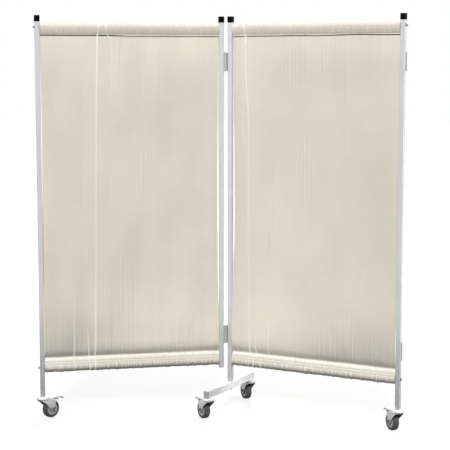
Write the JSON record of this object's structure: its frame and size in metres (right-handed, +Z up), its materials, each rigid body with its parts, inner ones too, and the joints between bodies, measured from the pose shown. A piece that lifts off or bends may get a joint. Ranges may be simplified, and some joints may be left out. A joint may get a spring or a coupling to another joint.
{
  "type": "folding medical screen",
  "caption": "Folding ward screen: hinged sections of square posts with gathered curtains on rails, a cross foot, and swivel castors with brake pedals.",
  "frame": {"origin": "on the floor at the middle of the object's outline, with the sections folded to a V of 140 degrees", "axes": "+Z up; -Y is the front, the hollow side of the V; +X is the right section"},
  "size_m": [1.528, 0.5574, 1.679],
  "materials": {
    "white_paint": "white powder coat",
    "bar_paint": "pale grey powder coat",
    "black_cap": "black moulded plastic",
    "cream_cloth": "cream woven cloth",
    "zinc_fitting": "zinc plated",
    "castor_steel": "pressed and zinc plated",
    "axle_steel": "dark plated",
    "hub_plastic": "grey moulded plastic",
    "grey_tyre": "dark grey non-marking rubber",
    "plug_plastic": "grey moulded plastic"
  },
  "bodies": {
    "right_section": {"base_bar": "bar_paint", "base_bolt": "zinc_fitting", "foot_insert": "plug_plastic", "front_bar_plug": "plug_plastic", "front_castor_stem": "castor_steel", "lower_extension_plate": "zinc_fitting", "lower_hinge_pin": "zinc_fitting", "rear_bar_plug": "plug_plastic", "rear_castor_stem": "castor_steel", "right_castor_stem": "castor_steel", "right_curtain": "cream_cloth", "right_inner_cap": "black_cap", "right_inner_post": "white_paint", "right_lower_inner_screw": "zinc_fitting", "right_lower_leaf": "zinc_fitting", "right_lower_outer_bolt": "zinc_fitting", "right_lower_rail": "white_paint", "right_outer_cap": "black_cap", "right_outer_post": "white_paint", "right_upper_inner_screw": "zinc_fitting", "right_upper_leaf": "zinc_fitting", "right_upper_outer_bolt": "zinc_fitting", "right_upper_rail": "white_paint", "upper_extension_plate": "zinc_fitting", "upper_hinge_pin": "zinc_fitting"},
    "left_section": {"left_castor_stem": "castor_steel", "left_curtain": "cream_cloth", "left_inner_cap": "black_cap", "left_inner_post": "white_paint", "left_lower_inner_screw": "zinc_fitting", "left_lower_leaf": "zinc_fitting", "left_lower_outer_bolt": "zinc_fitting", "left_lower_rail": "white_paint", "left_outer_cap": "black_cap", "left_outer_post": "white_paint", "left_upper_inner_screw": "zinc_fitting", "left_upper_leaf": "zinc_fitting", "left_upper_outer_bolt": "zinc_fitting", "left_upper_rail": "white_paint", "short_post_plug": "plug_plastic"},
    "left_castor_swivel": {"left_castor_fork": "castor_steel", "left_castor_axle": "axle_steel"},
    "left_castor_wheel": {"left_castor_hub": "hub_plastic", "left_castor_tyre": "grey_tyre"},
    "left_castor_brake": {"left_castor_pedal": "castor_steel"},
    "right_castor_swivel": {"right_castor_fork": "castor_steel", "right_castor_axle": "axle_steel"},
    "right_castor_wheel": {"right_castor_hub": "hub_plastic", "right_castor_tyre": "grey_tyre"},
    "right_castor_brake": {"right_castor_pedal": "castor_steel"},
    "front_castor_swivel": {"front_castor_fork": "castor_steel", "front_castor_axle": "axle_steel"},
    "front_castor_wheel": {"front_castor_hub": "hub_plastic", "front_castor_tyre": "grey_tyre"},
    "front_castor_brake": {"front_castor_pedal": "castor_steel"},
    "rear_castor_swivel": {"rear_castor_fork": "castor_steel", "rear_castor_axle": "axle_steel"},
    "rear_castor_wheel": {"rear_castor_hub": "hub_plastic", "rear_castor_tyre": "grey_tyre"},
    "rear_castor_brake": {"rear_castor_pedal": "castor_steel"}
  },
  "joints": [
    {"name": "panel_fold", "type": "hinge", "parent": "right_section", "child": "left_section", "pos_m": [0.00013, -0.00244, 0], "axis": [0, 0, 1], "range_deg": [-50, 125]},
    {"name": "left_castor_turn", "type": "hinge", "parent": "left_section", "child": "left_castor_swivel", "pos_m": [-0.73864, -0.25324, 0], "axis": [0, 0, 1], "continuous": true},
    {"name": "left_castor_roll", "type": "hinge", "parent": "left_castor_swivel", "child": "left_castor_wheel", "pos_m": [-0.71522, -0.21718, 0.0375], "axis": [-0.8387, 0.5446, 0], "continuous": true},
    {"name": "left_castor_brake_press", "type": "hinge", "parent": "left_castor_swivel", "child": "left_castor_brake", "pos_m": [-0.72176, -0.22724, 0.079], "axis": [-0.8387, 0.5446, 0], "range_deg": [0, 6]},
    {"name": "right_castor_turn", "type": "hinge", "parent": "right_section", "child": "right_castor_swivel", "pos_m": [0.73891, -0.25324, 0], "axis": [0, 0, 1], "continuous": true},
    {"name": "right_castor_roll", "type": "hinge", "parent": "right_castor_swivel", "child": "right_castor_wheel", "pos_m": [0.71773, -0.21582, 0.0375], "axis": [-0.8704, -0.4924, 0], "continuous": true},
    {"name": "right_castor_brake_press", "type": "hinge", "parent": "right_castor_swivel", "child": "right_castor_brake", "pos_m": [0.72364, -0.22626, 0.079], "axis": [-0.8704, -0.4924, 0], "range_deg": [0, 6]},
    {"name": "front_castor_turn", "type": "hinge", "parent": "right_section", "child": "front_castor_swivel", "pos_m": [-0.04695, -0.17579, 0], "axis": [0, 0, 1], "continuous": true},
    {"name": "front_castor_roll", "type": "hinge", "parent": "front_castor_swivel", "child": "front_castor_wheel", "pos_m": [-0.07283, -0.14145, 0.0375], "axis": [-0.7986, -0.6018, 0], "continuous": true},
    {"name": "front_castor_brake_press", "type": "hinge", "parent": "front_castor_swivel", "child": "front_castor_brake", "pos_m": [-0.0656, -0.15104, 0.079], "axis": [-0.7986, -0.6018, 0], "range_deg": [0, 6]},
    {"name": "rear_castor_turn", "type": "hinge", "parent": "right_section", "child": "rear_castor_swivel", "pos_m": [0.08234, 0.17941, 0], "axis": [0, 0, 1], "continuous": true},
    {"name": "rear_castor_roll", "type": "hinge", "parent": "rear_castor_swivel", "child": "rear_castor_wheel", "pos_m": [0.0609, 0.21669, 0.0375], "axis": [-0.8669, -0.4985, 0], "continuous": true},
    {"name": "rear_castor_brake_press", "type": "hinge", "parent": "rear_castor_swivel", "child": "rear_castor_brake", "pos_m": [0.06688, 0.20628, 0.079], "axis": [-0.8669, -0.4985, 0], "range_deg": [0, 6]}
  ]
}
